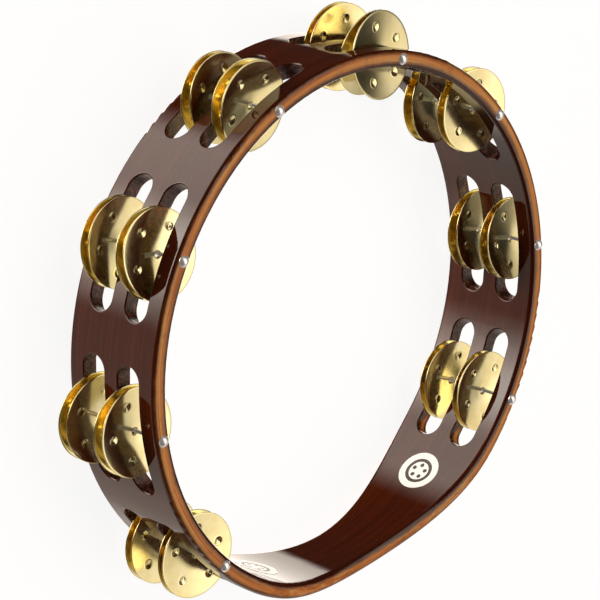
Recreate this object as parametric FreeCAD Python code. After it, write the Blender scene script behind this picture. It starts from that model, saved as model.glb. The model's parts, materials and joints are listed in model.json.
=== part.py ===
import FreeCAD, Part
import math
import os

from FreeCAD import Rotation, Vector

# Headless tambourine: a bent wooden ring with a scooped grip, eight stations of
# long nails, and two rows of brass jingle pairs that ride on the nails.
#
# The ring lies flat. Its axis is Z, its mid-plane is Z = 0, and the nail heads
# are on the upper rim. The grip is centred on the -X side and the stations are
# symmetric about the X axis. Lengths are in millimetres, angles in degrees.

# Wooden ring
RING_DIAMETER = 254.0
WALL = 7.6
WIDTH = 54.0
RIM_ROUND = 2.0

# Grip: both rims are scooped by a raised cosine
GRIP_SCOOP = 10.8
GRIP_HALF_ANGLE = 40.5
GRIP_CURVE_STEPS = 16

# Stations, counted counter-clockwise from the grip as seen from above
STATION_COUNT = 8
STATION_SPACING = 36.5

# Slots: two rows, one jingle pair in each slot
ROW_HEIGHT = 10.9
SLOT_LENGTH = 61.0
SLOT_WIDTH = 13.4
SLOT_EDGE_ROUND = 0.5

# Nails: each one holds the pairs of both rows
NAIL_DIAMETER = 1.7
NAIL_LENGTH = 50.0
NAIL_POINT = 3.0
NAIL_HEAD_DIAMETER = 5.3
NAIL_HEAD_HEIGHT = 1.8
NAIL_HEAD_EDGE = 0.3
NAIL_HOLE_CLEARANCE = 0.02
NAIL_HOLE_EXTRA_DEPTH = 0.5

# Jingles: dished brass discs with a round bottom and five dents. The slope is that
# of the dish between its bottom and its edge.
JINGLE_DIAMETER = 40.0
SHEET = 0.55
DISH_SLOPE = 5.0
DISH_BOTTOM_RADIUS = 4.5
JINGLE_HOLE_DIAMETER = 3.2
DENT_COUNT = 5
DENT_CIRCLE = 13.0
DENT_DIAMETER = 4.0
DENT_DEPTH = 0.45

# How the jingles hang: the play in the hole lets each one sag towards the grip
HANG_ANGLE = 159.0
HANG_OFFSET = 0.5

# Where each jingle has come to rest, station by station. A pair is the top jingle
# and the bottom jingle. Each one has the height of its edge above the middle of
# the slot, its lean away from the ring's axis, its lean along the ring, and the
# turn of its dents.
UPPER_ROW_REST = [
    [(-1.0, -4, 2.5, 10), (-5.0, 1, 2, 40)],
    [(0.0, 4, 6, 35), (-4.0, 1, 2, 60)],
    [(1.0, -4, 3.5, 35), (-3.0, -2, 5, 15)],
    [(3.0, 6, -3.5, 20), (-3.5, -9, -2, 50)],
    [(0.2, -3, -2, 10), (-3.8, 1, 1, 30)],
    [(1.5, 5, -9.5, 45), (-2.5, 6, -7, 5)],
    [(-0.5, -2, -3, 65), (-4.5, 2, -4, 20)],
    [(-1.8, 2.5, -2, 5), (-5.8, -1, 0, 55)],
]
LOWER_ROW_REST = [
    [(0.0, -4, 3, 25), (-4.5, 0, 3, 70)],
    [(1.5, 5, 4.5, 55), (-2.5, 1, 2, 10)],
    [(-1.1, 5, -3, 45), (-5.1, 3, -2, 25)],
    [(1.2, 1, 3.5, 70), (-2.8, -2, 3, 35)],
    [(3.0, 3, -5.5, 35), (-1.5, 0.5, -0.5, 65)],
    [(-0.2, -0.5, -5.5, 30), (-4.2, 0, -3, 0)],
    [(-1.1, 0, 0, 35), (-5.1, 4, 0, 45)],
    [(-1.5, 0.5, 0, 70), (-5.5, 0, 1, 30)],
]

# Round paper stickers on the inner face, beside the grip
STICKER_DIAMETER = 21.0
STICKER_THICKNESS = 0.15
STICKER_GLUE = 0.03
STICKER_ANGLE_FROM_GRIP = 28.2

# How far the shapes that cut or punch others stand past them
CUT_MARGIN = 10.0

OUTER_RADIUS = RING_DIAMETER / 2
INNER_RADIUS = OUTER_RADIUS - WALL
MID_RADIUS = OUTER_RADIUS - WALL / 2
RIM_HEIGHT = WIDTH / 2
JINGLE_EDGE_RADIUS = JINGLE_DIAMETER / 2 - SHEET / 2
DISH_ANGLE = math.radians(DISH_SLOPE)
DISH_SPHERE = DISH_BOTTOM_RADIUS / math.sin(DISH_ANGLE)
DISH_BOTTOM_HEIGHT = (DISH_BOTTOM_RADIUS - JINGLE_EDGE_RADIUS) * math.tan(DISH_ANGLE)
DISH_DEPTH = DISH_SPHERE * (1 - math.cos(DISH_ANGLE)) - DISH_BOTTOM_HEIGHT
AXIS = Vector(0, 0, 1)


def line(start, end):
    return Part.LineSegment(start, end).toShape()


def arc(start, middle, end):
    return Part.Arc(start, middle, end).toShape()


def solid_of_revolution(edges):
    """Turn a closed outline in the XZ plane round the Z axis."""
    face = Part.Face(Part.Wire(edges))
    return face.revolve(Vector(0, 0, 0), AXIS, 360)


# ---------------------------------------------------------------- wooden ring

def grip_curve(side):
    """The scooped rim seen along X: side is +1 for the upper rim, -1 for the lower one."""
    points = []
    for step in range(GRIP_CURVE_STEPS + 1):
        share = 2.0 * step / GRIP_CURVE_STEPS - 1.0
        scoop = GRIP_SCOOP * (1.0 + math.cos(math.pi * share)) / 2.0
        y = MID_RADIUS * math.sin(math.radians(GRIP_HALF_ANGLE * share))
        points.append(Vector(0, y, side * (RIM_HEIGHT - scoop)))
    curve = Part.BSplineCurve()
    level = Vector(0, 1, 0)
    curve.interpolate(Points=points, InitialTangent=level, FinalTangent=level)
    return curve.toShape()


def grip_side_outline(reach):
    """The grip half of the ring seen along X, as a closed face at X = 0."""
    grip_end = MID_RADIUS * math.sin(math.radians(GRIP_HALF_ANGLE))
    edges = [grip_curve(1), grip_curve(-1)]
    for side in (-1, 1):
        z = side * RIM_HEIGHT
        edges.append(line(Vector(0, -reach, z), Vector(0, -grip_end, z)))
        edges.append(line(Vector(0, grip_end, z), Vector(0, reach, z)))
        y = side * reach
        edges.append(line(Vector(0, y, -RIM_HEIGHT), Vector(0, y, RIM_HEIGHT)))
    return Part.Face(Part.Wire(Part.__sortEdges__(edges)))


def ring_blank():
    """The bent strip, with the scooped grip and rounded rims, before any slot."""
    reach = OUTER_RADIUS + CUT_MARGIN
    bottom = Vector(0, 0, -WIDTH)
    tube = Part.makeCylinder(OUTER_RADIUS, 2 * WIDTH, bottom)
    tube = tube.cut(Part.makeCylinder(INNER_RADIUS, 2 * WIDTH, bottom))
    grip_half = grip_side_outline(reach).extrude(Vector(-reach, 0, 0))
    plain_half = Part.makeBox(reach, 2 * reach, WIDTH, Vector(0, -reach, -RIM_HEIGHT))
    ring = tube.common(grip_half.fuse(plain_half).removeSplitter())
    rims = [edge for edge in ring.Edges if not isinstance(edge.Curve, Part.Line)]
    return ring.makeFillet(RIM_ROUND, rims)


def slot_cutter():
    """A slot with full-round ends that goes through the wall on the +X side."""
    half_straight = (SLOT_LENGTH - SLOT_WIDTH) / 2
    radius = SLOT_WIDTH / 2
    x = INNER_RADIUS - CUT_MARGIN
    low_left = Vector(x, -half_straight, -radius)
    low_right = Vector(x, half_straight, -radius)
    high_right = Vector(x, half_straight, radius)
    high_left = Vector(x, -half_straight, radius)
    outline = [
        line(low_left, low_right),
        arc(low_right, Vector(x, half_straight + radius, 0), high_right),
        line(high_right, high_left),
        arc(high_left, Vector(x, -half_straight - radius, 0), low_left),
    ]
    return Part.Face(Part.Wire(outline)).extrude(Vector(WALL + 2 * CUT_MARGIN, 0, 0))


def nail_hole():
    """A blind hole from the upper rim, at the +X side."""
    radius = NAIL_DIAMETER / 2 + NAIL_HOLE_CLEARANCE
    depth = NAIL_LENGTH + NAIL_HOLE_EXTRA_DEPTH
    bottom = Vector(MID_RADIUS, 0, RIM_HEIGHT - depth)
    return Part.makeCylinder(radius, depth + CUT_MARGIN, bottom)


def is_slot_mouth(edge):
    """True for a curved edge where a slot opens through a face of the wall."""
    highest = ROW_HEIGHT + SLOT_WIDTH / 2 + SLOT_EDGE_ROUND
    box = edge.BoundBox
    inside_rows = -highest < box.ZMin and box.ZMax < highest
    return inside_rows and not isinstance(edge.Curve, Part.Line)


def wooden_ring():
    ring = ring_blank()
    slots = []
    for angle in station_angles():
        for side in (-1, 1):
            slot = slot_cutter()
            slot.translate(Vector(0, 0, side * ROW_HEIGHT))
            slots.append(turned(slot, angle))
    ring = ring.cut(slots)
    ring = ring.makeFillet(SLOT_EDGE_ROUND, [edge for edge in ring.Edges if is_slot_mouth(edge)])
    return ring.cut([turned(nail_hole(), angle) for angle in station_angles()])


# --------------------------------------------------------------------- nails

def nail():
    """A round-headed nail at the +X side, driven down from the upper rim."""
    head = NAIL_HEAD_DIAMETER / 2
    shank = NAIL_DIAMETER / 2
    dome = NAIL_HEAD_HEIGHT - NAIL_HEAD_EDGE
    dome_radius = (head ** 2 + dome ** 2) / (2 * dome)
    dome_centre = NAIL_HEAD_HEIGHT - dome_radius
    half_way = math.asin(head / dome_radius) / 2
    dome_middle = Vector(dome_radius * math.sin(half_way), 0,
                         dome_centre + dome_radius * math.cos(half_way))
    tip = Vector(0, 0, -NAIL_LENGTH)
    taper = Vector(shank, 0, NAIL_POINT - NAIL_LENGTH)
    under_head = Vector(head, 0, 0)
    dome_edge = Vector(head, 0, NAIL_HEAD_EDGE)
    top = Vector(0, 0, NAIL_HEAD_HEIGHT)
    outline = [
        line(tip, taper),
        line(taper, Vector(shank, 0, 0)),
        line(Vector(shank, 0, 0), under_head),
        line(under_head, dome_edge),
        arc(dome_edge, dome_middle, top),
        line(top, tip),
    ]
    shape = solid_of_revolution(outline)
    shape.translate(Vector(MID_RADIUS, 0, RIM_HEIGHT))
    return shape


# ------------------------------------------------------------------- jingles

def on_bottom(angle, offset):
    """A point of the dish's round bottom, at an angle from the axis."""
    reach = DISH_SPHERE - offset
    centre = DISH_BOTTOM_HEIGHT + DISH_SPHERE * math.cos(DISH_ANGLE)
    return Vector(reach * math.sin(angle), 0, centre - reach * math.cos(angle))


def on_slope(radius, offset):
    """A point of the dish's slope; the offset is square to the sheet, from its middle."""
    height = (radius - JINGLE_EDGE_RADIUS) * math.tan(DISH_ANGLE)
    return Vector(radius - offset * math.sin(DISH_ANGLE), 0, height + offset * math.cos(DISH_ANGLE))


def sheet_surface(offset):
    """One face of the jingle's sheet, as edges from the hole to the edge, and its two ends."""
    hole = JINGLE_HOLE_DIAMETER / 2
    inner = math.asin(hole / (DISH_SPHERE - offset))
    middle = (inner + DISH_ANGLE) / 2
    start, turn = on_bottom(inner, offset), on_bottom(DISH_ANGLE, offset)
    end = on_slope(JINGLE_EDGE_RADIUS, offset)
    return [arc(start, on_bottom(middle, offset), turn), line(turn, end)], start, end


def dent_tools():
    """The ball that presses one dent, and the bump that it raises on the back of the sheet."""
    half = DENT_DIAMETER / 2
    ball = (half ** 2 + DENT_DEPTH ** 2) / (2 * DENT_DEPTH)
    centre = Vector(0, 0, SHEET / 2 - DENT_DEPTH + ball)
    press = Part.makeSphere(ball, centre)
    size = CUT_MARGIN
    below_sheet = Part.makeBox(size, size, size, Vector(-size / 2, -size / 2, -size))
    bump = Part.makeSphere(ball + SHEET, centre).common(below_sheet)
    for tool in (press, bump):
        tool.rotate(Vector(0, 0, 0), Vector(0, 1, 0), -DISH_SLOPE)
        tool.translate(on_slope(DENT_CIRCLE, 0))
    return press, bump


def jingle():
    """A jingle centred on the origin, its dish open towards +Z and its edge at Z = 0."""
    front, front_hole, front_edge = sheet_surface(SHEET / 2)
    back, back_hole, back_edge = sheet_surface(-SHEET / 2)
    outermost = Vector(JINGLE_DIAMETER / 2, 0, 0)
    edges = front + back
    edges.append(line(front_hole, back_hole))
    edges.append(arc(front_edge, outermost, back_edge))
    disc = solid_of_revolution(Part.__sortEdges__(edges))
    press, bump = dent_tools()
    for number in range(DENT_COUNT):
        angle = number * 360.0 / DENT_COUNT
        disc = disc.fuse(turned(bump, angle)).cut(turned(press, angle))
    return disc.removeSplitter()


def lean_direction(lean_out, lean_along):
    """The way a jingle's face looks at the +X station, as a vector that is upright without lean."""
    return Vector(math.tan(math.radians(lean_out)), math.tan(math.radians(lean_along)), 1)


def hung_jingle(blank, angle, row, side, rest):
    """The jingle on its nail: row is +1 for the upper row, side is +1 for the top jingle."""
    height, lean_out, lean_along, dent_turn = rest
    shape = turned(blank, dent_turn)
    origin = Vector(0, 0, 0)
    if side < 0:
        shape.rotate(origin, Vector(1, 0, 0), 180)
    shape.translate(Vector(0, 0, side * DISH_DEPTH))
    lean = Rotation(AXIS, lean_direction(lean_out, lean_along))
    shape.rotate(origin, lean.Axis, math.degrees(lean.Angle))
    shape.translate(Vector(0, 0, row * ROW_HEIGHT + height - side * DISH_DEPTH))
    shape.rotate(origin, AXIS, angle)
    station = math.radians(angle)
    hang = math.radians(HANG_ANGLE)
    x = MID_RADIUS * math.cos(station) + HANG_OFFSET * math.cos(hang)
    y = MID_RADIUS * math.sin(station) + HANG_OFFSET * math.sin(hang)
    shape.translate(Vector(x, y, 0))
    return shape


# ------------------------------------------------------------------ stickers

def sticker(side):
    """A round sticker on the inner face, beside the grip; side is +1 towards +Y."""
    outer = INNER_RADIUS - STICKER_GLUE
    bottom = Vector(0, 0, -RIM_HEIGHT)
    skin = Part.makeCylinder(outer, WIDTH, bottom)
    skin = skin.cut(Part.makeCylinder(outer - STICKER_THICKNESS, WIDTH, bottom))
    start = Vector(-INNER_RADIUS - CUT_MARGIN, 0, 0)
    punch = Part.makeCylinder(STICKER_DIAMETER / 2, 2 * CUT_MARGIN + WALL, start, Vector(1, 0, 0))
    return turned(skin.common(punch), -side * STICKER_ANGLE_FROM_GRIP)


# ------------------------------------------------------------------ assembly

def turned(shape, angle):
    """A copy of the shape, turned round the ring's axis."""
    copy = shape.copy()
    copy.rotate(Vector(0, 0, 0), AXIS, angle)
    return copy


def station_angles():
    """The angle of each station from +X, counted counter-clockwise from the grip."""
    middle = (STATION_COUNT - 1) / 2
    return [(number - middle) * STATION_SPACING for number in range(STATION_COUNT)]


def all_parts():
    parts = {"wooden_ring": wooden_ring()}
    straight_nail = nail()
    blank = jingle()
    rows = (("upper_row", 1, UPPER_ROW_REST), ("lower_row", -1, LOWER_ROW_REST))
    for station, angle in enumerate(station_angles()):
        number = station + 1
        parts[f"nail_{number}"] = turned(straight_nail, angle)
        for row_name, row, row_rest in rows:
            top_rest, bottom_rest = row_rest[station]
            name = f"jingle_{number}_{row_name}"
            parts[name + "_top"] = hung_jingle(blank, angle, row, 1, top_rest)
            parts[name + "_bottom"] = hung_jingle(blank, angle, row, -1, bottom_rest)
    parts["sticker_left"] = sticker(1)
    parts["sticker_right"] = sticker(-1)
    return parts


def main():
    os.makedirs("parts", exist_ok=True)
    for name, shape in all_parts().items():
        shape.exportStep(os.path.join("parts", name + ".step"))


main()
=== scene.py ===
import json
import math

import bpy
import numpy as np
from mathutils import Matrix, Vector

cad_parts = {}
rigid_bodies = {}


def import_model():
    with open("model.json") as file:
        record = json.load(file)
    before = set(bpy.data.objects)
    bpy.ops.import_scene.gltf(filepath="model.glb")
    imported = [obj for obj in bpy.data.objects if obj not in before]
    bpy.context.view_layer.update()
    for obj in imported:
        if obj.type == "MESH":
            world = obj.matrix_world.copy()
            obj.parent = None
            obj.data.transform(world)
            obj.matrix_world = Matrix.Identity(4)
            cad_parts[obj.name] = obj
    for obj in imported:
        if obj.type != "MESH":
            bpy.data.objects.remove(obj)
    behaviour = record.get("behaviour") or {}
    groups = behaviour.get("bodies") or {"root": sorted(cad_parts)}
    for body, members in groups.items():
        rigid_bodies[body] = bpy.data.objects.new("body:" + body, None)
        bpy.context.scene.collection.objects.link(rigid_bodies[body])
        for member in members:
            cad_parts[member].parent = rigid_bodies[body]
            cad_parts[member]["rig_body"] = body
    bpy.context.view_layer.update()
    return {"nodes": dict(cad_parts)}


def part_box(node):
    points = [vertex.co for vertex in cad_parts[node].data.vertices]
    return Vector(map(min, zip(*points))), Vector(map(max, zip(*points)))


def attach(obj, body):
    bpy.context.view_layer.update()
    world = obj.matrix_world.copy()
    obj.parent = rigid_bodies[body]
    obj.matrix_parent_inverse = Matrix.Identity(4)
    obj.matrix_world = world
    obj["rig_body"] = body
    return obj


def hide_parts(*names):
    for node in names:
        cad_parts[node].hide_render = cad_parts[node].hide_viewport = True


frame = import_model()

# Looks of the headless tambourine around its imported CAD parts.
#
# Lengths are metres, unless a comment says millimetres. The ring lies flat on the
# floor, its axis is Z and its mid-plane is Z = 0. The ring, the nails and the stickers
# are the CAD meshes with new materials. Each jingle is a finer mesh that is placed on
# its CAD jingle and moves with it.

MM = 0.001
RING_LOW, RING_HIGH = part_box("wooden_ring")
OUTER_RADIUS = RING_HIGH.x
WALL = 0.0076
MID_RADIUS = OUTER_RADIUS - WALL / 2
INNER_RADIUS = OUTER_RADIUS - WALL

# Dished jingle, in millimetres, open towards +Z
SHEET = 0.55
JINGLE_RADIUS = 20.0
HOLE_RADIUS = 1.6
DISH_SLOPE = math.radians(5.0)
DISH_BOTTOM_RADIUS = 4.5
EDGE_RADIUS = JINGLE_RADIUS - SHEET / 2
EDGE_STEPS = 5
DENT_COUNT = 5
DENT_SECTOR = 2 * math.pi / DENT_COUNT
DENT_CIRCLE = 13.0
DENT_RADIUS = 2.05
DENT_DEPTH = 0.42
DENT_LIP = 0.07
DENT_LIP_WIDTH = 0.28
DENT_PIP_RADIUS = 0.8
DENT_PIP_DEPTH = 0.16
DENT_REACH = 2.9

# The jingle's mesh, in millimetres: steps near the dents, and in three plainer bands
# (at the bottom, inside the dents and outside them). The last one is in radians, round
# the jingle between two dents.
FINE_STEP = 0.24
BOTTOM_STEP = 0.5
INNER_STEP = 0.9
OUTER_STEP = 0.8
ROUND_STEP = 0.055
SNAP_REACH = 0.45 * FINE_STEP

# Finding a CAD jingle's place from its points: the bands, in metres, that belong to
# its rim and to its dents, how far its bottom reaches, and the rounds of the search
RIM_BAND = 0.0004
DENT_BAND = 0.0011
BOTTOM_REACH = 2.5 * HOLE_RADIUS * MM
SEARCH_ROUNDS = 4

# Grain of the bent strip: how often it repeats in a metre, along the strip, across its
# width and through its wall
FINE_GRAIN = (14.0, 900.0, 900.0)
BROAD_GRAIN = (9.0, 130.0, 300.0)
FINE_SHARE = 0.6

# Where the lacquer changes, in metres, as the places where each change starts and ends:
# the sanded band's edge from its own middle, the slots' ends in height, the grip in X,
# and the slots' inner walls, which carry a painted reflection, from the wall's middle
SANDED_MIDDLE = MID_RADIUS + 0.0005
SANDED_EDGE = (0.0031, 0.0004)
SANDED_WAVER = 0.0016
SLOTS_END = (0.0183, 0.0190)
GRIP_START = (-0.088, -0.094)
SLOT_WALL_EDGE = (0.0036, 0.0031)

# Stickers: how far round from the grip their middles are, in radians, and the printed
# mark, in metres: a ring and a circle of dots
STICKER_ANGLE = math.radians(28.2)
MARK_RADIUS = 0.0062
MARK_HALF_WIDTH = 0.0009
MARK_DOTS = 5
MARK_DOT_CIRCLE = 0.0034
MARK_DOT_RADIUS = 0.0011


# ------------------------------------------------------------------ node graphs

class Shader:
    """A new material and short calls that add nodes to it."""

    def __init__(self, name):
        self.material = bpy.data.materials.new(name)
        self.material.use_nodes = True
        self.tree = self.material.node_tree
        self.tree.nodes.clear()
        self.output = self.tree.nodes.new("ShaderNodeOutputMaterial")

    def plug(self, socket, value):
        """Link an output to the socket, or set its plain value."""
        if isinstance(value, bpy.types.NodeSocket):
            self.tree.links.new(value, socket)
        elif value is not None:
            socket.default_value = value

    def node(self, kind, inputs=(), **settings):
        node = self.tree.nodes.new("ShaderNode" + kind)
        for key, value in settings.items():
            setattr(node, key, value)
        for key, value in dict(inputs).items():
            self.plug(node.inputs[key], value)
        return node

    def math(self, operation, a, b=None, c=None):
        node = self.node("Math", operation=operation)
        for socket, value in zip(node.inputs, (a, b, c)):
            self.plug(socket, value)
        return node.outputs[0]

    def smooth(self, value, low, high):
        """0 at low, 1 at high, with a soft turn at both ends."""
        node = self.node("MapRange", interpolation_type="SMOOTHSTEP")
        for key, item in (("Value", value), ("From Min", low), ("From Max", high)):
            self.plug(node.inputs[key], item)
        return node.outputs["Result"]

    def between(self, share, low, high):
        """low where the share is 0, high where it is 1."""
        return self.math("ADD", low, self.math("MULTIPLY", share, high - low))

    def blend(self, share, a, b):
        """The colour a where the share is 0, the colour b where it is 1."""
        node = self.node("Mix", data_type="RGBA")
        self.plug(node.inputs["Factor"], share)
        self.plug(node.inputs[6], a)
        self.plug(node.inputs[7], b)
        return node.outputs[2]

    def ramp(self, value, stops):
        """A colour for each value, from stops of (value, colour)."""
        node = self.node("ValToRGB", {"Fac": value})
        elements = node.color_ramp.elements
        while len(elements) < len(stops):
            elements.new(0.5)
        for element, (place, colour) in zip(elements, stops):
            element.position = place
            element.color = colour
        return node.outputs["Color"]

    def noise(self, vector, scale, detail, rough, w=None, distortion=0.0):
        """Noise from 0 to 1; w is a fourth place, for noise that differs from piece to piece."""
        node = self.node("TexNoise", noise_dimensions="3D" if w is None else "4D")
        inputs = {"Vector": vector, "Scale": scale, "Detail": detail, "Roughness": rough,
                  "Distortion": distortion}
        if w is not None:
            inputs["W"] = w
        for key, value in inputs.items():
            self.plug(node.inputs[key], value)
        return node.outputs["Fac"]

    def vector(self, x, y, z):
        node = self.node("CombineXYZ")
        for socket, value in zip(node.inputs, (x, y, z)):
            self.plug(socket, value)
        return node.outputs[0]

    def parts(self, vector):
        """The vector's X, Y and Z."""
        return self.node("SeparateXYZ", {0: vector}).outputs[:3]

    def distance(self, a, b):
        """How far the point (a, b) is from (0, 0)."""
        squares = self.math("ADD", self.math("MULTIPLY", a, a), self.math("MULTIPLY", b, b))
        return self.math("SQRT", squares)

    def apart(self, a, b):
        """How far the value a is from b."""
        return self.math("ABSOLUTE", self.math("SUBTRACT", a, b))

    def grain(self, place, radius, repeats, detail, rough, distortion=0.0):
        """Noise that is drawn out round the ring, and fine across it and through it."""
        along, across, through = repeats
        x, y, z = self.parts(place)
        drawn_out = self.vector(self.math("MULTIPLY", x, along), self.math("MULTIPLY", y, along),
                                self.math("MULTIPLY", z, across))
        depth = self.math("MULTIPLY", radius, through)
        return self.noise(drawn_out, 1.0, detail, rough, depth, distortion)

    def bump(self, height, distance, strength, normal=None):
        node = self.node("Bump", {"Height": height, "Distance": distance, "Strength": strength})
        self.plug(node.inputs["Normal"], normal)
        return node.outputs["Normal"]

    def finish(self, **inputs):
        """The material, with one principled shader and these inputs."""
        shader = self.node("BsdfPrincipled")
        for key, value in inputs.items():
            self.plug(shader.inputs[key.replace("_", " ")], value)
        self.tree.links.new(shader.outputs["BSDF"], self.output.inputs["Surface"])
        return self.material


def rgb(red, green, blue):
    """A colour from screen values 0 to 255, as the linear colour that Blender mixes."""
    def linear(value):
        share = value / 255
        return share / 12.92 if share <= 0.04045 else ((share + 0.055) / 1.055) ** 2.4
    return (linear(red), linear(green), linear(blue), 1.0)


# -------------------------------------------------------------------- materials

def lacquered_wood():
    """Bent hardwood under dark brown gloss lacquer, sanded lighter on the two rims; the rims' palest
    streaks are a painted highlight.
    """
    s = Shader("lacquered_wood")
    place = s.node("TexCoord").outputs["Object"]
    x, y, z = s.parts(place)
    radius = s.distance(x, y)
    fine = s.grain(place, radius, FINE_GRAIN, detail=4.0, rough=0.6)
    broad = s.grain(place, radius, BROAD_GRAIN, detail=2.0, rough=0.5, distortion=0.6)
    streak = s.math("ADD", s.math("MULTIPLY", fine, FINE_SHARE),
                    s.math("MULTIPLY", broad, 1 - FINE_SHARE))
    face = s.ramp(streak, [(0.34, rgb(56, 18, 6)), (0.5, rgb(70, 25, 8)), (0.68, rgb(88, 35, 12))])
    # The rim's amber is the sanded wood's own colour; its palest stop is raised into a painted
    # highlight
    rim = s.ramp(streak, [(0.34, rgb(160, 78, 22)), (0.5, rgb(232, 140, 62)),
                          (0.66, rgb(255, 206, 130))])

    # The rim's flat middle is sanded; its rounded edges and the slots are dark
    waver = s.math("SUBTRACT", s.noise(place, scale=90.0, detail=3.0, rough=0.6), 0.5)
    from_middle = s.math("ADD", s.apart(radius, SANDED_MIDDLE), s.math("MULTIPLY", waver, SANDED_WAVER))
    flat = s.smooth(from_middle, *SANDED_EDGE)
    above_slots = s.smooth(s.math("ABSOLUTE", z), *SLOTS_END)
    at_grip = s.smooth(x, *GRIP_START)
    on_rim = s.math("MAXIMUM", above_slots, at_grip)
    facing_up = s.math("ABSOLUTE", s.parts(s.node("TexCoord").outputs["Normal"])[2])
    rim_share = s.math("MULTIPLY", flat, on_rim)
    rim_share = s.math("MULTIPLY", rim_share, s.smooth(facing_up, 0.3, 0.6))
    colour = s.blend(rim_share, face, rim)

    # Inside the slots the wood is blotchy red-brown and the blotches ripple the lacquer; the pale pink
    # blotches are a painted reflection
    in_wall = s.smooth(s.apart(radius, MID_RADIUS), *SLOT_WALL_EDGE)
    in_slot = s.math("MULTIPLY", in_wall, s.math("SUBTRACT", 1.0, on_rim))
    blotch = s.noise(place, scale=420.0, detail=4.0, rough=0.7)
    slot_wood_and_painted_sheen = s.ramp(blotch, [(0.38, rgb(38, 11, 6)), (0.52, rgb(74, 28, 17)),
                               (0.68, rgb(132, 76, 58))])
    colour = s.blend(in_slot, colour, slot_wood_and_painted_sheen)
    slot_blotch = s.math("MULTIPLY", blotch, in_slot)

    mottle = s.noise(place, scale=160.0, detail=3.0, rough=0.6)
    stain = s.between(s.smooth(mottle, 0.5, 0.8), 0.0, 0.25)
    colour = s.blend(stain, colour, rgb(24, 8, 5))
    pores = s.math("ADD", fine, s.math("MULTIPLY", slot_blotch, 2.0))
    normal = s.bump(pores, distance=0.0001, strength=0.25)
    ripple = s.bump(s.noise(place, scale=55.0, detail=2.0, rough=0.5), distance=0.0006, strength=0.12)
    coat_normal = s.bump(slot_blotch, distance=0.0012, strength=0.5, normal=ripple)
    coat_rough = s.between(s.smooth(mottle, 0.45, 0.8), 0.03, 0.08)
    coat = s.between(rim_share, 1.0, 0.45)
    return s.finish(Base_Color=colour, Roughness=0.5, Specular_IOR_Level=0.0, Normal=normal,
                    Coat_Weight=coat, Coat_Roughness=coat_rough, Coat_IOR=1.5,
                    Coat_Normal=coat_normal)


def brass():
    """Spun brass sheet with a soft polish and uneven tarnish, each jingle with its own."""
    s = Shader("jingle_brass")
    place = s.node("Attribute", attribute_name="jingle_place").outputs["Vector"]
    x, y, _ = s.parts(place)
    radius = s.distance(x, y)
    seed = s.node("Attribute", attribute_name="jingle_number").outputs["Fac"]
    tarnish = s.noise(place, scale=90.0, detail=3.0, rough=0.55, w=seed)
    colour = s.ramp(tarnish, [(0.3, (0.79, 0.67, 0.33, 1)), (0.55, (0.87, 0.77, 0.43, 1)),
                              (0.75, (0.91, 0.84, 0.55, 1))])
    rings = s.vector(s.math("MULTIPLY", radius, 5200.0), 0.0, 0.0)
    spun = s.noise(rings, scale=1.0, detail=2.0, rough=0.6, w=seed)
    smear = s.noise(place, scale=420.0, detail=3.0, rough=0.6, w=seed)
    rough = s.between(smear, 0.11, 0.18)
    uneven = s.noise(place, scale=130.0, detail=2.0, rough=0.5, w=seed)
    dimple = s.bump(uneven, distance=0.0003, strength=0.1)
    normal = s.bump(spun, distance=0.00002, strength=0.12, normal=dimple)
    return s.finish(Base_Color=colour, Metallic=1.0, Roughness=rough, Normal=normal)


def steel():
    """Nickelled nail with a faintly scratched head and a faint painted glow that keeps it white."""
    s = Shader("nail_steel")
    place = s.node("TexCoord").outputs["Object"]
    scratch = s.noise(place, scale=2600.0, detail=3.0, rough=0.7)
    stain = s.noise(place, scale=700.0, detail=2.0, rough=0.5)
    colour = s.ramp(stain, [(0.3, rgb(238, 236, 236)), (0.7, rgb(254, 250, 248))])
    rough = s.between(scratch, 0.2, 0.34)
    normal = s.bump(scratch, distance=0.00005, strength=0.2)
    # The head's faint glow is painted light that whitens it
    return s.finish(Base_Color=colour, Metallic=0.8, Roughness=rough, Normal=normal,
                    Emission_Color=colour, Emission_Strength=0.1)


def sticker_paper():
    """White paper sticker with a generic printed mark: a dark ring with five dots, and a painted glow
    that brightens it.
    """
    s = Shader("sticker_paper")
    place = s.node("TexCoord").outputs["Object"]
    fibre = s.noise(place, scale=2400.0, detail=4.0, rough=0.65)
    colour = s.ramp(fibre, [(0.35, rgb(222, 220, 214)), (0.65, rgb(246, 245, 240))])
    x, y, z = s.parts(place)
    from_grip = s.math("ABSOLUTE", s.math("ARCTAN2", y, s.math("MULTIPLY", x, -1.0)))
    across = s.math("MULTIPLY", s.math("SUBTRACT", from_grip, STICKER_ANGLE), INNER_RADIUS)
    span = s.distance(across, z)
    turn = s.math("ARCTAN2", z, across)
    band = s.math("LESS_THAN", s.apart(span, MARK_RADIUS), MARK_HALF_WIDTH)
    dot_turn = s.math("PINGPONG", turn, math.pi / MARK_DOTS)
    dot_x = s.math("SUBTRACT", s.math("MULTIPLY", span, s.math("COSINE", dot_turn)), MARK_DOT_CIRCLE)
    dot_y = s.math("MULTIPLY", span, s.math("SINE", dot_turn))
    dots = s.math("LESS_THAN", s.distance(dot_x, dot_y), MARK_DOT_RADIUS)
    colour = s.blend(s.math("MAXIMUM", band, dots), colour, rgb(46, 30, 26))
    normal = s.bump(fibre, distance=0.00004, strength=0.15)
    # The paper's glow is painted light that brightens it
    return s.finish(Base_Color=colour, Roughness=0.45, Normal=normal, Coat_Weight=0.3,
                    Coat_Roughness=0.2, Emission_Color=colour, Emission_Strength=0.35)


# ---------------------------------------------------------------------- jingles

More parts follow.
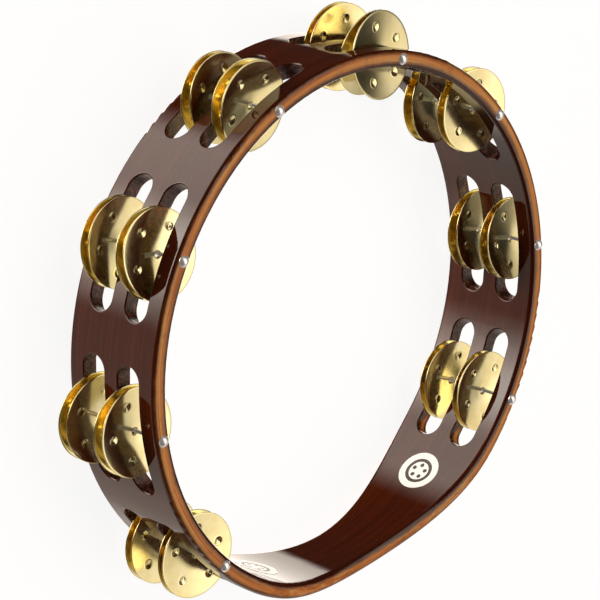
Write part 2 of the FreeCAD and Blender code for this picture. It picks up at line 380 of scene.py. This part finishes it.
def sheet_profile(radius):
    """Height and slope of the middle of the sheet at a radius, without dents, in millimetres."""
    if radius >= DISH_BOTTOM_RADIUS:
        return (radius - EDGE_RADIUS) * math.tan(DISH_SLOPE), DISH_SLOPE
    sphere = DISH_BOTTOM_RADIUS / math.sin(DISH_SLOPE)
    bottom_edge = (DISH_BOTTOM_RADIUS - EDGE_RADIUS) * math.tan(DISH_SLOPE)
    angle = math.asin(radius / sphere)
    return bottom_edge + sphere * (math.cos(DISH_SLOPE) - math.cos(angle)), angle


def dent_height(distance):
    """How far a dent moves the sheet at a distance from the dent's centre."""
    height = DENT_LIP * math.exp(-((distance - DENT_RADIUS) / DENT_LIP_WIDTH) ** 2)
    if distance < DENT_RADIUS:
        height -= DENT_DEPTH * (1 - (distance / DENT_RADIUS) ** 2)
    if distance < DENT_PIP_RADIUS:
        height -= DENT_PIP_DEPTH * (1 - (distance / DENT_PIP_RADIUS) ** 2)
    return height


def steps(low, high, step):
    """Evenly spaced values from low towards high, without high."""
    count = max(1, round((high - low) / step))
    return [low + (high - low) * number / count for number in range(count)]


def jingle_radii():
    """Radii from the hole to the edge, closer together where the dents are."""
    inner, outer = DENT_CIRCLE - DENT_REACH, DENT_CIRCLE + DENT_REACH
    radii = steps(HOLE_RADIUS, DISH_BOTTOM_RADIUS, BOTTOM_STEP)
    radii += steps(DISH_BOTTOM_RADIUS, inner, INNER_STEP)
    radii += steps(inner, outer, FINE_STEP)
    radii += steps(outer, EDGE_RADIUS, OUTER_STEP)
    return radii + [EDGE_RADIUS]


def jingle_angles():
    """Angles round the jingle, closer together where the dents are."""
    half = DENT_REACH / DENT_CIRCLE
    angles = []
    for number in range(DENT_COUNT):
        middle = number * DENT_SECTOR
        angles += steps(middle - half, middle + half, FINE_STEP / DENT_CIRCLE)
        angles += steps(middle + half, middle + DENT_SECTOR - half, ROUND_STEP)
    return angles


def snapped(x, y, centre_x, centre_y):
    """The point, moved onto the dent's edge where it is nearly there."""
    dx, dy = x - centre_x, y - centre_y
    distance = math.hypot(dx, dy)
    if abs(distance - DENT_RADIUS) < SNAP_REACH:
        scale = DENT_RADIUS / distance
        return centre_x + dx * scale, centre_y + dy * scale, DENT_RADIUS
    return x, y, distance


def jingle_shape():
    """Vertices and faces of one jingle in its own place: dish open to +Z, in millimetres."""
    angles = jingle_angles()
    front, back = [], []
    for radius in jingle_radii():
        middle_height, slope = sheet_profile(radius)
        front_row, back_row = [], []
        for angle in angles:
            x, y = radius * math.cos(angle), radius * math.sin(angle)
            nearest = round(angle / DENT_SECTOR) * DENT_SECTOR
            x, y, distance = snapped(x, y, DENT_CIRCLE * math.cos(nearest),
                                     DENT_CIRCLE * math.sin(nearest))
            height = middle_height + (dent_height(distance) if distance < DENT_REACH else 0.0)
            lift = Vector((-math.sin(slope) * x / radius, -math.sin(slope) * y / radius,
                           math.cos(slope)))
            point = Vector((x, y, height))
            front_row.append(point + lift * SHEET / 2)
            back_row.append(point - lift * SHEET / 2)
        front.append(front_row)
        back.append(back_row)
    edge = []
    for number in range(1, EDGE_STEPS):
        turn = math.pi * number / EDGE_STEPS - DISH_SLOPE
        reach = EDGE_RADIUS + math.sin(turn) * SHEET / 2
        edge.append([Vector((reach * math.cos(angle), reach * math.sin(angle),
                             math.cos(turn) * SHEET / 2)) for angle in angles])
    rows = front + edge + back[::-1]
    count = len(angles)
    faces = []
    for row in range(len(rows)):
        following = (row + 1) % len(rows)
        for column in range(count):
            beside = (column + 1) % count
            faces.append((row * count + column, following * count + column,
                          following * count + beside, row * count + beside))
    return np.array([tuple(point) for row in rows for point in row]), faces


def plane_axes(points):
    """The three principal directions of the points about their mean, flattest last."""
    spread = points - points.mean(0)
    return np.linalg.eigh(spread.T @ spread)[1][:, ::-1].T


def cad_place(node):
    """Where a CAD jingle is: the matrix that takes the plain jingle to it."""
    mesh = frame["nodes"][node].data
    points = np.empty(len(mesh.vertices) * 3)
    mesh.vertices.foreach_get("co", points)
    points = points.reshape(-1, 3)

    # Its middle and its plane, from the circle that its rim's points lie on
    centre = (points.max(0) + points.min(0)) / 2
    for _ in range(SEARCH_ROUNDS):
        reach = np.linalg.norm(points - centre, axis=1)
        rim = points[reach > reach.max() - RIM_BAND]
        axes = plane_axes(rim)
        across, normal = axes[:2], axes[2]
        flat = (rim - rim.mean(0)) @ across.T
        terms = np.column_stack([2 * flat, np.ones(len(flat))])
        solved = np.linalg.lstsq(terms, (flat ** 2).sum(1), rcond=None)[0]
        centre = rim.mean(0) + solved[:2] @ across

    # The dish's bottom lies behind the plane of its rim
    spread = points - centre
    at_bottom = np.linalg.norm(spread, axis=1) < BOTTOM_REACH
    if (spread[at_bottom] @ normal).mean() > 0:
        normal = -normal
    x_axis = np.cross([0.0, 1.0, 0.0], normal)
    x_axis /= np.linalg.norm(x_axis)
    y_axis = np.cross(normal, x_axis)
    matrix = Matrix((x_axis, y_axis, normal)).transposed().to_4x4()
    matrix.translation = Vector(centre)

    # The dents' turn, from the angles of the points on their circle
    local = spread @ np.column_stack([x_axis, y_axis])
    dents = local[abs(np.linalg.norm(local, axis=1) - DENT_CIRCLE * MM) < DENT_BAND]
    phase = np.exp(1j * DENT_COUNT * np.arctan2(dents[:, 1], dents[:, 0])).sum()
    return matrix @ Matrix.Rotation(np.angle(phase) / DENT_COUNT, 4, "Z")


def make_jingles(material):
    """A fine brass mesh in the place of each CAD jingle, riding on the same body."""
    shape, faces = jingle_shape()
    nodes = sorted(name for name in frame["nodes"] if name.startswith("jingle_"))
    for number, node in enumerate(nodes):
        matrix = cad_place(node)
        placed = shape * MM @ np.array(matrix.to_3x3()).T + np.array(matrix.translation)
        mesh = bpy.data.meshes.new(node + "_brass")
        mesh.from_pydata(placed.tolist(), [], faces)
        mesh.shade_smooth()
        place = mesh.attributes.new("jingle_place", "FLOAT_VECTOR", "POINT")
        place.data.foreach_set("vector", (shape * MM).astype(np.float32).ravel())
        seed = mesh.attributes.new("jingle_number", "FLOAT", "POINT")
        seed.data.foreach_set("value", np.full(len(shape), float(number), np.float32))
        mesh.materials.append(material)
        piece = bpy.data.objects.new(node + "_brass", mesh)
        bpy.context.scene.collection.objects.link(piece)
        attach(piece, frame["nodes"][node]["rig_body"])
        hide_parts(node)


def paint(node, material):
    """Give a CAD node its one material."""
    mesh = frame["nodes"][node].data
    mesh.materials.clear()
    mesh.materials.append(material)


# ------------------------------------------------------------------------ stage

FLOOR_RADIUS = 8.0
FLOOR_GAP = 0.0001
FLOOR_GLOW = 0.9

# Soft lights of the studio, as seen from the ring's centre, in degrees. Each has the
# azimuth and the elevation of its middle, half of its width, half of its height, the
# width of its soft edge, and its strength. Azimuth is from +X towards +Y.
STUDIO_LIGHTS = [
    (36, -40, 40, 24, 18, 2.8),
    (50, -39, 13, 20, 22, 5.0),
    (102, -40, 30, 20, 20, 0.45),
    (-102, -40, 27, 20, 7, 2.5),
    (-80, 60, 85, 24, 14, 1.0),
    (-80, 72, 85, 20, 16, 0.8),
    (160, -28, 38, 36, 18, 0.7),
    (-150, -5, 32, 40, 16, 0.5),
]
STUDIO_AMBIENT = 0.03
STUDIO_TINT = (1.0, 0.91, 0.80, 1.0)
WHITE = (1.0, 1.0, 1.0, 1.0)

# How often light is followed from jingle to jingle inside a pair
MIRROR_BOUNCES = 12


def make_floor():
    """A pale floor that only the camera sees, so that it doesn't whiten the dark lacquer."""
    s = Shader("floor")
    shade = s.noise(s.node("TexCoord").outputs["Object"], scale=3.0, detail=2.0, rough=0.5)
    colour = s.ramp(shade, [(0.3, (0.19, 0.19, 0.19, 1)), (0.7, (0.21, 0.21, 0.21, 1))])
    material = s.finish(Base_Color=colour, Roughness=0.9, Specular_IOR_Level=0.0,
                        Emission_Color=WHITE, Emission_Strength=FLOOR_GLOW)
    bpy.ops.mesh.primitive_circle_add(vertices=96, radius=FLOOR_RADIUS, fill_type="NGON",
                                      location=(0, 0, RING_LOW.z - FLOOR_GAP))
    floor = bpy.context.object
    floor.name = "floor"
    floor.data.materials.append(material)
    floor.visible_glossy = False
    floor.visible_diffuse = False
    floor.visible_shadow = False


class WorldShader(Shader):
    """The same short calls on the world's own node tree."""

    def __init__(self, world):
        world.use_nodes = True
        self.tree = world.node_tree
        self.tree.nodes.clear()
        self.output = self.tree.nodes.new("ShaderNodeOutputWorld")


def make_world():
    """Soft lights all round, which only reflections and surfaces see; the camera sees white."""
    world = bpy.data.worlds.new("studio")
    bpy.context.scene.world = world
    s = WorldShader(world)
    x, y, z = s.parts(s.node("TexCoord").outputs["Generated"])
    azimuth = s.math("DEGREES", s.math("ARCTAN2", y, x))
    elevation = s.math("DEGREES", s.math("ARCSINE", z))
    light = STUDIO_AMBIENT
    for middle, height, half_width, half_height, edge, strength in STUDIO_LIGHTS:
        turn = s.math("WRAP", s.math("SUBTRACT", azimuth, middle), -180.0, 180.0)
        sideways = s.math("ABSOLUTE", turn)
        upright = s.apart(elevation, height)
        across = s.smooth(sideways, half_width + edge / 2, half_width - edge / 2)
        along = s.smooth(upright, half_height + edge / 2, half_height - edge / 2)
        box = s.math("MULTIPLY", s.math("MULTIPLY", across, along), strength)
        light = s.math("ADD", box, light)
    seen = s.node("LightPath").outputs["Is Camera Ray"]
    unseen = s.math("SUBTRACT", 1.0, seen)
    strength = s.math("ADD", s.math("MULTIPLY", light, unseen), seen)
    colour = s.blend(seen, STUDIO_TINT, WHITE)
    background = s.node("Background", {"Color": colour, "Strength": strength})
    s.tree.links.new(background.outputs[0], s.output.inputs["Surface"])


# Camera: where it stands, seen from the ring's centre (degrees and metres), its lens
# (millimetres), and how it is held: which way it looks and which way is up for it
CAMERA_AZIMUTH = 56.71
CAMERA_ELEVATION = 41.09
CAMERA_DISTANCE = 1.0933
CAMERA_LENS = 143.49
CAMERA_SENSOR = 36.0
CAMERA_FORWARD = (-0.40657, -0.62644, -0.66504)
CAMERA_UP = (0.90930, -0.34813, -0.22798)


def make_camera():
    """A long lens above the ring's nail side, held askew so that the grip is at lower right."""
    data = bpy.data.cameras.new("camera")
    data.lens = CAMERA_LENS
    data.sensor_width = CAMERA_SENSOR
    camera = bpy.data.objects.new("camera", data)
    bpy.context.scene.collection.objects.link(camera)
    azimuth, elevation = math.radians(CAMERA_AZIMUTH), math.radians(CAMERA_ELEVATION)
    place = CAMERA_DISTANCE * Vector((math.cos(azimuth) * math.cos(elevation),
                                      math.sin(azimuth) * math.cos(elevation),
                                      math.sin(elevation)))
    back = -Vector(CAMERA_FORWARD).normalized()
    up = Vector(CAMERA_UP)
    up = (up - back * up.dot(back)).normalized()
    right = up.cross(back)
    held = Matrix((right, up, back)).transposed().to_4x4()
    camera.matrix_world = Matrix.Translation(place) @ held
    bpy.context.scene.camera = camera


# --------------------------------------------------------------------- assembly

make_jingles(brass())
paint("wooden_ring", lacquered_wood())
nail_metal = steel()
paper = sticker_paper()
for name in frame["nodes"]:
    if name.startswith("nail_"):
        paint(name, nail_metal)
    if name.startswith("sticker_"):
        paint(name, paper)

make_floor()
make_world()
make_camera()
scene = bpy.context.scene
scene.view_settings.view_transform = "Standard"
scene.cycles.glossy_bounces = MIRROR_BOUNCES
